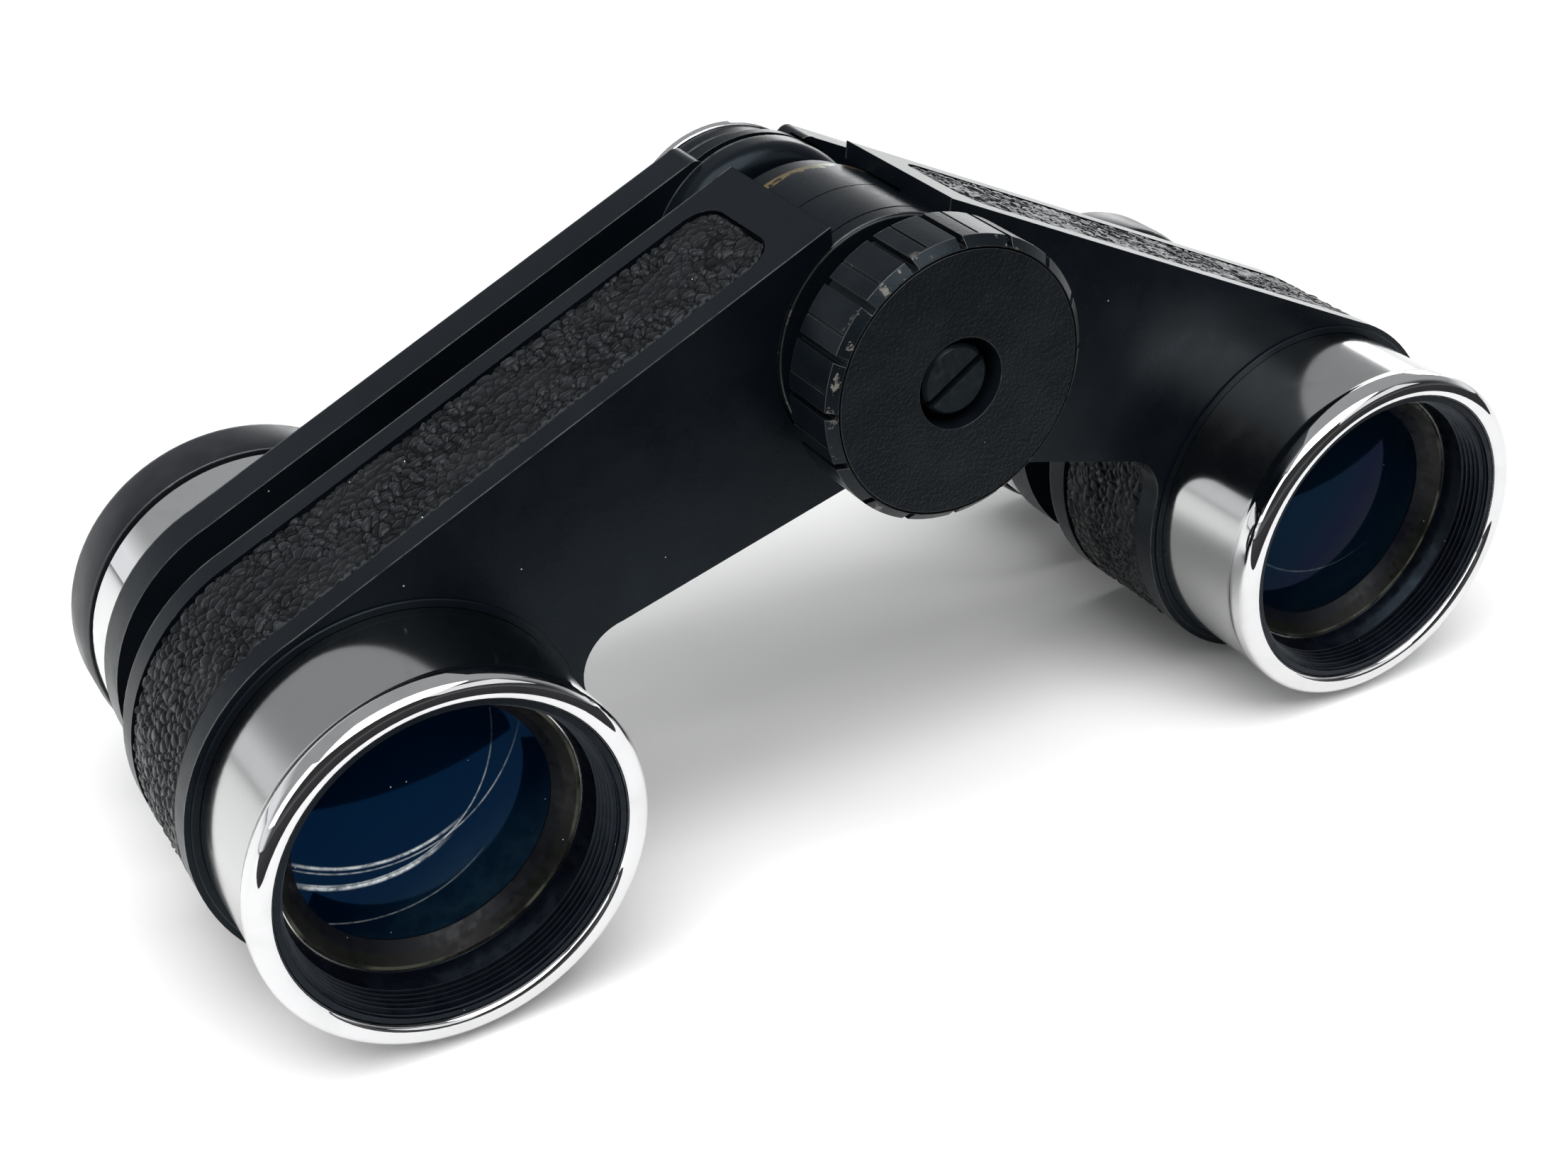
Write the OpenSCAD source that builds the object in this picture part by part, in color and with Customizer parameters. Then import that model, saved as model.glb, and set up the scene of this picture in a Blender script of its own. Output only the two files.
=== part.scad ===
// Folding centre-focus binoculars, standing on the round ends of their two halves.
//
// Frame: the hinge axis runs along Y above the origin, the objectives face -Y, +Z is up.
// Each half is drawn in its own coordinates: u runs from the hinge axis out to the barrel,
// v runs square to it, and s is the distance behind the front face of the objective rim.

/* [Fold] */
// Distance from the hinge axis to each barrel axis
arm_reach = 37.5; // [37:0.25:38.5]
// Angle by which each half hangs below flat at rest
half_droop = 30.6; // [28:0.2:34]

/* [Body] */
// Radius of the round end of each body
body_r = 11.95; // [11.8:0.05:12.1]
// Distance of the body's front face behind the rim
body_front = 8.7; // [8.5:0.1:8.9]
// Depth of the body from front to back
body_depth = 11.2; // [11:0.1:11.6]
// Height of the arm's top face over the hinge axis, at the hinge
arm_top = 8.6; // [8.5:0.05:8.8]
// Depth of the arm's lower face under the hinge axis, at the hinge
arm_low = 7.95; // [7.8:0.05:8.1]
// Slope of the arm's lower face towards the barrel
low_angle = 14.8; // [14:0.2:15.4]
// Radius of the hollow between the lower face and the barrel
hollow_r = 3.2; // [2.8:0.1:3.6]

/* [Leatherette] */
// Width of the leatherette strip
leather_w = 8.0; // [7:0.1:8.4]
// Depth of the groove that the strip lies in
groove_depth = 0.45; // [0.3:0.05:0.6]
// Height of the strip above the body's surface
leather_proud = 0.05; // [0.05:0.05:0.25]

/* [Objective] */
// Outer radius of the rolled rim
rim_r = 11.35; // [11.3:0.05:11.45]
// Radius where the chrome ends and the black inside begins
rim_bore_r = 10.0; // [9.95:0.05:10.1]
// Radius of the objective lens
lens_r = 8.75; // [8.6:0.05:8.85]
// Number of ribs on the baffle
baffle_ribs = 5; // [3:1:6]

/* [Eyepiece] */
// Gap between the bodies and the eyepiece plates
slot_gap = 4.5; // [4.3:0.1:4.8]
// Thickness of the eyepiece plates
plate_t = 2.7; // [2.5:0.1:3]
// How far the plate's outline lies inside the body's
plate_inset = 0.95; // [0.8:0.05:1]
// Outer radius of the eyepiece rim
eye_rim_r = 11.05; // [10.9:0.05:11.15]
// Outer radius of the chrome eyepiece barrel
eye_barrel_r = 10.75; // [10.6:0.05:10.8]

/* [Hinge] */
// Radius of the body knuckles
knuckle_r = 7.4; // [7.3:0.05:7.45]
// Radius of the eyepiece bridge's front knuckle
bridge_r = 7.2; // [7.1:0.05:7.3]
// Outer radius of the hinge sleeve
sleeve_r = 4.6; // [4.5:0.05:4.8]
// Outer radius of the spindle
spindle_r = 3.2; // [3.1:0.05:3.3]

/* [Focus wheel] */
// Radius over the wheel's lands
wheel_r = 8.4; // [8.2:0.05:8.6]
// Radius of the wheel's flat front face
wheel_face_r = 7.85; // [7.7:0.05:7.9]
// Number of lands round the wheel
wheel_lands = 16; // [12:1:20]

/* [Hidden] */

$fn = 96;
cut = 1;               // how far a cutting solid runs past what it cuts
locate = 0.03;         // clearance between pieces fixed in each other
run = 0.05;            // clearance between pieces that turn or slide
swing = 0.15;          // clearance round the other half's knuckles
LEFT = -1;
RIGHT = 1;

// Stations behind the rim
body_rear = body_front + body_depth;
plate_front = body_rear + slot_gap;
plate_rear = plate_front + plate_t;
barrel_len = 3.4;
barrel_rear = plate_rear + barrel_len;
eye_groove = 0.35;
eye_rear = barrel_rear + 4.5;
total_len = eye_rear;
flange_front = body_front + 0.1;
flange_rear = flange_front + 1.1;
right_knuckle = [flange_rear + 0.1, flange_rear + 3.95];
left_knuckle = [right_knuckle[1] + 0.1, body_rear - 0.3];
knuckle_step = body_rear - 1.95;
bridge_front = left_knuckle[1] + 2.5;
bridge_rear = plate_front + 1.35;
rear_knuckle_r = 6.7;
rear_knuckle = [bridge_rear + 0.1, plate_rear + 1.1];
leather_front = body_front + 1.6;

// Height of the hinge axis when the leatherette rests on the table
hinge_z = arm_reach * sin(half_droop) + body_r + leather_proud;

// ---- Outline of a half, seen along the barrel ----
arm_end_u = -0.45;     // where the arm's top face ends, past the hinge axis
heel_u = 6.5;          // where the arm's lower face ends, so that the halves can fold
top_dist = norm([arm_reach, arm_top]);
top_angle = asin(body_r / top_dist) - atan2(arm_top, arm_reach);
top_dir = [cos(top_angle), sin(top_angle)];
top_out = [-sin(top_angle), cos(top_angle)];
low_dir = [cos(low_angle), sin(low_angle)];
low_out = [sin(low_angle), -cos(low_angle)];
barrel_c = [arm_reach, 0];
low_start = [0, -arm_low];
hollow_from = low_start + hollow_r * low_out - barrel_c;
hollow_along = hollow_from * low_dir;
hollow_reach = sqrt(hollow_along * hollow_along - hollow_from * hollow_from
    + (body_r + hollow_r) * (body_r + hollow_r));
hollow_c = barrel_c + hollow_from - (hollow_along + hollow_reach) * low_dir;
hollow_dir = (hollow_c - barrel_c) / norm(hollow_c - barrel_c);

function on_top(u, inset) = [u, arm_top + u * tan(top_angle)] - inset * top_out;
function on_low(u, inset) = [u, u * tan(low_angle) - arm_low] - inset * low_out;

// The outline moved inwards by inset. Rounds overlap by blend where they meet.
module outline(inset, tip = 0) {
    blend = 0.02;
    end_c = on_top(arm_end_u + tip, inset + tip);
    end_r = max(tip - blend, 0);
    round_r = body_r - inset;
    deep_r = round_r - blend;
    scoop_r = hollow_r + inset + blend;
    translate(barrel_c) circle(r = round_r);
    difference() {
        union() {
            polygon([end_c + (end_r - (tip > 0 ? 0 : blend)) * top_out, barrel_c + deep_r * top_out,
                barrel_c, barrel_c + deep_r * hollow_dir, hollow_c,
                hollow_c - (hollow_r + inset) * low_out, on_low(heel_u, inset), end_c - end_r * top_dir]);
            if (tip > 0) translate(end_c) circle(r = tip);
        }
        translate(hollow_c) circle(r = scoop_r);
    }
}

// ---- Building helpers: everything below is placed by its stations s ----
module slab(s0, s1) {
    rotate([90, 0, 0]) translate([0, 0, -s1]) linear_extrude(s1 - s0) children();
}

module rod(r, s0, s1) {
    translate([0, s0, 0]) rotate([-90, 0, 0]) cylinder(r = r, h = s1 - s0);
}

// A turned piece: its profile lists [radius, station]
module turned(profile) {
    rotate([-90, 0, 0]) rotate_extrude() polygon(profile);
}

module ring(r_in, r_out, s0, s1) {
    turned([[r_in, s0], [r_out, s0], [r_out, s1], [r_in, s1]]);
}

function arc(c, r, a0, a1, steps) = [for (i = [0 : steps]) let (a = a0 + (a1 - a0) * i / steps)
    c + r * [cos(a), sin(a)]];

module on_axis() {
    translate([0, -total_len / 2, hinge_z]) children();
}

module half(side) {
    on_axis() {
        if (side == LEFT) mirror([1, 0, 0]) rotate([0, half_droop, 0]) children();
        if (side == RIGHT) rotate([0, half_droop, 0]) children();
    }
}

module barrel(side) {
    half(side) translate([arm_reach, 0, 0]) children();
}

// ---- Body casting ----
bore_r = 10.4;
bore_lip_r = 9.9;
bore_lip = [body_front + 7.2, body_front + 7.7];

// The stretch of the edge band that the leatherette covers, seen square to the arm
module band_window(grow) {
    corner = 1.9;
    u0 = 2.3 - grow;
    s0 = leather_front - grow;
    w = leather_w + 2 * grow;
    translate([0, 0, -2 * body_r]) linear_extrude(4 * body_r) {
        translate([u0 + corner, s0]) square([arm_reach + 2 * body_r, w]);
        translate([u0, s0 + corner]) square([2 * corner, w - 2 * corner]);
        for (s = [s0 + corner, s0 + w - corner]) translate([u0 + corner, s]) circle(r = corner);
    }
}

// The path of the strip along the top, round the barrel and back under the arm
hollow_angle = atan2(hollow_dir[1], hollow_dir[0]);
band_low_u = heel_u + 2.5;

function band_path(inset, grow) = concat([on_top(0, inset)],
    arc(barrel_c, body_r - inset, 90 + top_angle, hollow_angle, 60),
    arc(hollow_c, hollow_r + inset, 180 + hollow_angle, 90 + low_angle, 16),
    [on_low(band_low_u - grow, inset)]);

function reversed(list) = [for (i = [len(list) - 1 : -1 : 0]) list[i]];

module band(inner, outer, grow) {
    intersection() {
        slab(leather_front - grow, leather_front + leather_w + grow)
            polygon(concat(band_path(-outer, grow), reversed(band_path(inner, grow))));
        band_window(grow);
    }
}

module body_casting(knuckle, clear, cuts) {
    difference() {
        union() {
            difference() {
                slab(body_front, body_rear) outline(0);
                for (c = cuts) rod(knuckle_r + swing, c[0], c[1]);
            }
            rod(knuckle_r, knuckle[0], knuckle[1]);
        }
        band(groove_depth, cut, 0);
        rod(sleeve_r + clear, knuckle[0] - cut, knuckle[1] + cut);
        translate([arm_reach, 0, 0]) {
            rod(bore_r, body_front - cut, bore_lip[0]);
            rod(bore_lip_r, body_front, body_rear + cut);
            rod(bore_r, bore_lip[1], body_rear + cut);
        }
    }
}

module left_body() {
    color("#24262a") half(LEFT) difference() {
        body_casting(left_knuckle, locate,
            [[body_front - cut, left_knuckle[0] - 0.05], [left_knuckle[1], body_rear + cut]]);
        ring(knuckle_r - 0.3, knuckle_r + swing / 2, knuckle_step, left_knuckle[1] + cut);
    }
}

module right_body() {
    color("#24262a") half(RIGHT) body_casting(right_knuckle, run,
        [[body_front - cut, right_knuckle[0]], [right_knuckle[1], body_rear + cut]]);
}

module leatherette(side) {
    color("#3a3b3e") half(side) band(groove_depth, leather_proud, -locate);
}

// ---- Objective end ----
neck_rear = body_front + 5.3;
seat_front = 6.4;
ring_front = 3.7;
ring_rear = 4.9;
glass_r = 7.5;

tube_r = rim_r - 0.22;

module collar(side) {
    depth = 0.15;
    outer = body_r - 0.35;
    color("#1c1e22") barrel(side) turned([[tube_r + locate, body_front - depth],
        [outer - 0.06, body_front - depth], [outer, body_front - depth + 0.06],
        [outer, body_front], [tube_r + locate, body_front]]);
}

// Straight tube with a rolled rim, a lens seat and a neck that screws into the body
module objective_tube(side) {
    rim_round = 0.72;
    lip_round = 0.42;
    roll = [1.25, 2.1];
    color("#d9dade") barrel(side) turned(concat(
        arc([rim_r - rim_round, rim_round], rim_round, 0, -90, 10),
        arc([rim_bore_r + lip_round, lip_round], lip_round, -90, -180, 8),
        [[rim_bore_r, ring_front], [lens_r + locate, ring_front], [lens_r + locate, seat_front],
        [lens_r - 0.85, seat_front], [lens_r - 0.85, seat_front + 0.8], [9.4, seat_front + 1.6],
        [9.4, neck_rear], [bore_r - locate, neck_rear], [bore_r - locate, body_front],
        [tube_r, body_front]],
        [for (i = [0 : 8]) let (t = i / 8) [rim_r - (rim_r - tube_r) * (1 + cos(180 * t)) / 2,
            roll[1] - t * (roll[1] - roll[0])]]));
}

// Black sleeve with sawtooth ribs that stops stray light
module baffle(side) {
    front = 0.4;
    wall_r = rim_bore_r - 0.38;
    rib_depth = 0.2;
    ribs_from = 0.8;
    ribs_to = 2.5;
    pitch = (ribs_to - ribs_from) / baffle_ribs;
    color("#15161a") barrel(side) turned(concat(
        [[rim_bore_r - locate, front], [wall_r, front], [wall_r - 0.05, ribs_from]],
        [for (i = [0 : baffle_ribs - 1], k = [0, 1])
            [wall_r - 0.1 - 0.06 * i - (k == 0 ? rib_depth : 0), ribs_from + pitch * (i + 0.35 + 0.6 * k)]],
        [[lens_r + 0.1, 3.5], [lens_r + 0.1, ring_front], [rim_bore_r - locate, ring_front]]));
}

// Two steps: a wide cone in front, and a narrower one down to the glass
module lens_ring(side) {
    step_r = 8.05;
    color("#5b5d52") barrel(side) turned([[lens_r - 0.15, ring_front], [lens_r, ring_front],
        [lens_r, ring_rear], [glass_r, ring_rear], [glass_r, ring_rear - 0.1],
        [step_r - 0.1, ring_front + 0.6], [step_r, ring_front + 0.5]]);
}

// Lens with a domed front: the dome is an arc through the rim and the crown
function dome(r, rise) = (r * r + rise * rise) / (2 * rise);

module objective_lens(side) {
    rise = 0.9;
    edge_r = glass_r - locate;
    ball = dome(edge_r, rise);
    sweep = asin(edge_r / ball);
    color("#1d3f63") barrel(side) turned(concat(
        [[0, seat_front - 0.35], [lens_r - 0.9, seat_front], [lens_r - locate, seat_front],
        [lens_r - locate, ring_rear]],
        arc([0, ring_rear - rise + ball], ball, -90 + sweep, -90, 12)));
}

module guide_bush(side) {
    color("#b08d4a") barrel(side) ring(eye_tube_r + run, bore_r - locate, bore_lip[1], body_rear);
}

// ---- Eyepiece end, which slides for focus ----
plate_tip = 0.8;
bridge_groove = [plate_front + 0.1, plate_front + 0.65];
groove_r = 6.5;
eye_tube_r = 8.1;
eye_bore_r = 6.6;
eye_tube_front = 13;
eye_lens_front = plate_rear + 1.9;
eye_ring_front = eye_lens_front + 1.6;

module eyepiece_plate(knuckle, r, shoulder, knuckle_bore, other_r, other) {
    difference() {
        union() {
            difference() {
                slab(plate_front, plate_rear) outline(plate_inset, plate_tip);
                rod(other_r + swing, other[0], other[1]);
            }
            rod(r, knuckle[0] + shoulder, knuckle[1]);
            turned(concat([[0, knuckle[0]]],
                arc([r - shoulder, knuckle[0] + shoulder], shoulder, -90, 0, 8),
                [[0, knuckle[0] + shoulder]]));
        }
        rod(knuckle_bore, knuckle[0] - cut, knuckle[1] + cut);
        translate([arm_reach, 0, 0]) rod(eye_tube_r + locate, plate_front - cut, plate_rear + cut);
    }
}

module left_eyepiece_plate() {
    color("#212327") half(LEFT) difference() {
        eyepiece_plate([bridge_front, bridge_rear], bridge_r, 1.3, spindle_r + locate,
            rear_knuckle_r, [bridge_rear, plate_rear + cut]);
        ring(groove_r, bridge_r + swing / 2, bridge_groove[0], bridge_groove[1]);
    }
}

module right_eyepiece_plate() {
    color("#212327") half(RIGHT) eyepiece_plate(rear_knuckle, rear_knuckle_r, 0.3,
        spindle_r + run, bridge_r, [plate_front - cut, rear_knuckle[0]]);
}

module eyepiece_tube(side) {
    lip = [eye_lens_front - 0.5, eye_lens_front];
    color("#1b1c1f") barrel(side) turned([[eye_bore_r, eye_tube_front], [eye_tube_r, eye_tube_front],
        [eye_tube_r, plate_rear], [9.5, plate_rear], [9.5, plate_rear + 0.8],
        [eye_tube_r, plate_rear + 0.8], [eye_tube_r, eye_ring_front + 1.2],
        [eye_bore_r, eye_ring_front + 1.2], [eye_bore_r, lip[1]], [eye_bore_r - 0.6, lip[1]],
        [eye_bore_r - 0.6, lip[0]], [eye_bore_r, lip[0]]]);
}

module eyepiece_barrel(side) {
    color("#d9dade") barrel(side) turned([[9.5 + locate, plate_rear], [eye_barrel_r, plate_rear],
        [eye_barrel_r, barrel_rear], [eye_tube_r + locate, barrel_rear],
        [eye_tube_r + locate, plate_rear + 0.8], [9.5 + locate, plate_rear + 0.8]]);
}

module eyepiece_rim(side) {
    edge = 1.0;
    seat_s = eye_ring_front + 1.2;
    color("#1b1c1f") barrel(side) turned(concat(
        [[eye_tube_r + locate, barrel_rear], [eye_barrel_r - 0.35, barrel_rear],
        [eye_barrel_r - 0.35, barrel_rear + eye_groove], [eye_rim_r - 0.15, barrel_rear + eye_groove],
        [eye_rim_r, barrel_rear + 1]],
        arc([eye_rim_r - edge, eye_rear - edge], edge, 0, 90, 8),
        [[9.3, eye_rear], [eye_bore_r - 0.4, seat_s + 0.4], [eye_bore_r - 0.4, seat_s],
        [eye_tube_r + locate, seat_s]]));
}

module eyepiece_lens(side) {
    depth = 0.9;
    ball = dome(5.6, depth);
    sweep = asin(5.6 / ball);
    color("#23384a") barrel(side) turned(concat(
        [[0, eye_lens_front + 0.4], [eye_bore_r - 0.65, eye_lens_front],
        [eye_bore_r - locate, eye_lens_front], [eye_bore_r - locate, eye_ring_front]],
        arc([0, eye_ring_front - depth + ball], ball, -90 + sweep, -90, 10)));
}

module eyepiece_lens_ring(side) {
    color("#2a2b2e") barrel(side) ring(eye_bore_r - 0.8, eye_bore_r - locate,
        eye_ring_front, eye_ring_front + 1.2);
}

// ---- Hinge ----
screw_r = 2.0;
thrust_r = 3.9;
thrust = [flange_rear - 0.55, flange_rear - 0.05];

module hinge_flange() {
    color("#2a2c30") on_axis() difference() {
        turned([[0, flange_front], [knuckle_r - 0.15, flange_front], [knuckle_r, flange_front + 0.15],
            [knuckle_r, flange_rear], [0, flange_rear]]);
        rod(screw_r + run, flange_front - cut, flange_rear + cut);
        rod(thrust_r + run, thrust[0] - 0.05, flange_rear + cut);
    }
}

module hinge_sleeve() {
    color("#9a9ca0") on_axis() ring(spindle_r + run, sleeve_r, flange_rear, left_knuckle[1]);
}

// ---- Focus wheel and its screw ----
wheel_front = 1.65;
land_rear = 6.2;
wheel_rear = 7.7;
hub_r = 6.4;
hole_r = 2.7;
hole_floor = wheel_front + 2.4;

module focus_screw() {
    end = knuckle_step + 0.5;
    pilot = 0.9;
    color("#a8895a") on_axis() turned([[pilot, hole_floor], [screw_r, hole_floor],
        [screw_r, thrust[0]], [thrust_r, thrust[0]], [thrust_r, thrust[1]], [screw_r, thrust[1]],
        [screw_r, end - 0.5], [screw_r - 0.5, end], [0, end], [0, hole_floor + 4],
        [pilot, hole_floor + 4]]);
}

module wheel_washer() {
    color("#b08d4a") on_axis() ring(screw_r + locate, 4.2, wheel_rear, flange_front - 0.05);
}

module focus_wheel() {
    step = 360 / wheel_lands;
    slot_w = 0.42;
    slot_floor = wheel_face_r + 0.02;
    seam = 0.12;
    scribe = 0.16;
    color("#2a2c30") on_axis() difference() {
        turned([[0, wheel_front], [wheel_face_r, wheel_front], [wheel_r, wheel_front + 0.55],
            [wheel_r, land_rear - 0.3], [wheel_r - 0.3, land_rear], [hub_r, land_rear],
            [hub_r, wheel_rear], [0, wheel_rear]]);
        for (i = [0 : wheel_lands - 1]) {
            rotate([0, step * i, 0]) translate([slot_floor, wheel_front - cut, -slot_w / 2])
                cube([cut, wheel_rear + 2 * cut, slot_w]);
            rotate([0, step * (i + 0.4), 0]) translate([wheel_r - scribe, wheel_front + 0.7, -scribe / 2])
                cube([cut, wheel_rear, scribe]);
        }
        ring(wheel_face_r - seam, wheel_face_r, wheel_front - cut, wheel_front + 0.25);
        rod(hole_r, wheel_front - cut, hole_floor);
        rod(screw_r + locate, wheel_front, wheel_rear + cut);
    }
}

module wheel_screw() {
    head_r = 2.1;
    head_front = wheel_front + 0.5;
    slot_w = 0.48;
    color("#303236") on_axis() difference() {
        union() {
            turned([[0, head_front], [head_r - 0.2, head_front], [head_r, head_front + 0.2],
                [head_r, hole_floor], [0, hole_floor]]);
            rod(0.9 - locate, hole_floor, hole_floor + 3.6);
        }
        rotate([0, -33, 0]) translate([-head_r - cut, head_front - cut, -slot_w / 2])
            cube([2 * (head_r + cut), cut + 0.7, slot_w]);
    }
}

// ---- Spindle and rear cap ----
spindle_front = thrust[1] + 2.2;
spindle_rear = rear_knuckle[1] + 0.05;
cap_r = 6.85;
cap_rear = spindle_rear + 0.9;

module spindle() {
    nut_end = knuckle_step + 3.2;
    color("#9a9ca0") on_axis() difference() {
        rod(spindle_r, spindle_front, spindle_rear);
        rod(screw_r + run, spindle_front - cut, nut_end);
        rod(1.0, nut_end - cut, spindle_rear + cut);
    }
}

module rear_cap() {
    color("#d9dade") on_axis() difference() {
        turned([[0, spindle_rear], [cap_r - 0.1, spindle_rear], [cap_r, spindle_rear + 0.1],
            [cap_r, cap_rear - 0.3], [cap_r - 0.3, cap_rear], [0, cap_rear]]);
        rod(5.4, cap_rear - 0.35, cap_rear + cut);
        rod(1.0 + locate, spindle_rear - cut, cap_rear + cut);
    }
}

module rear_cap_disc() {
    color("#1b1c1f") on_axis() difference() {
        rod(5.4 - locate, cap_rear - 0.35, cap_rear - 0.05);
        rod(1.9, cap_rear - cut, cap_rear + cut);
    }
}

module rear_cap_screw() {
    slot_w = 0.5;
    color("#303236") on_axis() difference() {
        union() {
            rod(1.85, cap_rear - 0.35, cap_rear + 0.35);
            rod(1.0 - locate, spindle_rear - 3, cap_rear);
        }
        translate([-3, cap_rear, -slot_w / 2]) cube([6, cut, slot_w]);
    }
}

left_body();
right_body();
leatherette(LEFT);  // left_leatherette
leatherette(RIGHT);  // right_leatherette
collar(LEFT);  // left_collar
collar(RIGHT);  // right_collar
objective_tube(LEFT);  // left_objective_tube
objective_tube(RIGHT);  // right_objective_tube
baffle(LEFT);  // left_baffle
baffle(RIGHT);  // right_baffle
lens_ring(LEFT);  // left_lens_ring
lens_ring(RIGHT);  // right_lens_ring
objective_lens(LEFT);  // left_objective_lens
objective_lens(RIGHT);  // right_objective_lens
guide_bush(LEFT);  // left_guide_bush
guide_bush(RIGHT);  // right_guide_bush
left_eyepiece_plate();
right_eyepiece_plate();
eyepiece_tube(LEFT);  // left_eyepiece_tube
eyepiece_tube(RIGHT);  // right_eyepiece_tube
eyepiece_barrel(LEFT);  // left_eyepiece_barrel
eyepiece_barrel(RIGHT);  // right_eyepiece_barrel
eyepiece_rim(LEFT);  // left_eyepiece_rim
eyepiece_rim(RIGHT);  // right_eyepiece_rim
eyepiece_lens(LEFT);  // left_eyepiece_lens
eyepiece_lens(RIGHT);  // right_eyepiece_lens
eyepiece_lens_ring(LEFT);  // left_eyepiece_lens_ring
eyepiece_lens_ring(RIGHT);  // right_eyepiece_lens_ring
hinge_flange();
hinge_sleeve();
focus_screw();
wheel_washer();
focus_wheel();
wheel_screw();
spindle();
rear_cap();
rear_cap_disc();
rear_cap_screw();
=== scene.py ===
"""Looks for the folding binoculars: materials, leatherette skins, lens details, light and camera."""

import math

import bpy
import numpy as np
from mathutils import Matrix, Vector


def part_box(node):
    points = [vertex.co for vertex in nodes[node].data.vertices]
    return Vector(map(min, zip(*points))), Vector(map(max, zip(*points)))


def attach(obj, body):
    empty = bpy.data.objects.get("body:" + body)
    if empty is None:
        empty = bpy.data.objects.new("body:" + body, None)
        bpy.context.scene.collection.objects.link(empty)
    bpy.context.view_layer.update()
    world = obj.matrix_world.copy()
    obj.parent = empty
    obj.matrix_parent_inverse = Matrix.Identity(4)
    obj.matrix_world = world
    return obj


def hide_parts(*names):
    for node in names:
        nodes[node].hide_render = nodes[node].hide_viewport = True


MM = 0.001
SIDES = ("left", "right")
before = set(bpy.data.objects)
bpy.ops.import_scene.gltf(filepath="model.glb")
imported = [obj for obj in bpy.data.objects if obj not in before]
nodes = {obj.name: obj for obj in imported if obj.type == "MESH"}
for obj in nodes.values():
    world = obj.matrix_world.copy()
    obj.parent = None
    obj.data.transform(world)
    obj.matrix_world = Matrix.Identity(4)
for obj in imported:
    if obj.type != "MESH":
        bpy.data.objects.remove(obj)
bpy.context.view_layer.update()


def centre(node):
    lo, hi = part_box(node)
    return (lo + hi) / 2


# ---- Where things are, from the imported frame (mm) ----
HINGE_Z = centre("spindle").z / MM
RIM_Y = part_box("left_objective_tube")[0].y / MM
BARREL = {side: centre(f"{side}_objective_lens") / MM for side in SIDES}
REACH = math.hypot(BARREL["right"].x, BARREL["right"].z - HINGE_Z)
DROOP = math.atan2(HINGE_Z - BARREL["right"].z, BARREL["right"].x)

# The baffle's ribs behind the rim, where the painted crest highlights go
RIBS_FROM = 0.8
RIBS_TO = 2.5
RIB_PITCH = 0.34


def place(side, u, v, s):
    """Row-frame metres of a point in a half's own coordinates: u out, v square to it, s behind the rim."""
    sign = 1 if side == "right" else -1
    x = u * math.cos(DROOP) + v * math.sin(DROOP)
    z = HINGE_Z - u * math.sin(DROOP) + v * math.cos(DROOP)
    return np.stack([sign * x * MM, (RIM_Y + s) * MM + 0 * x, z * MM], axis=-1)


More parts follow.
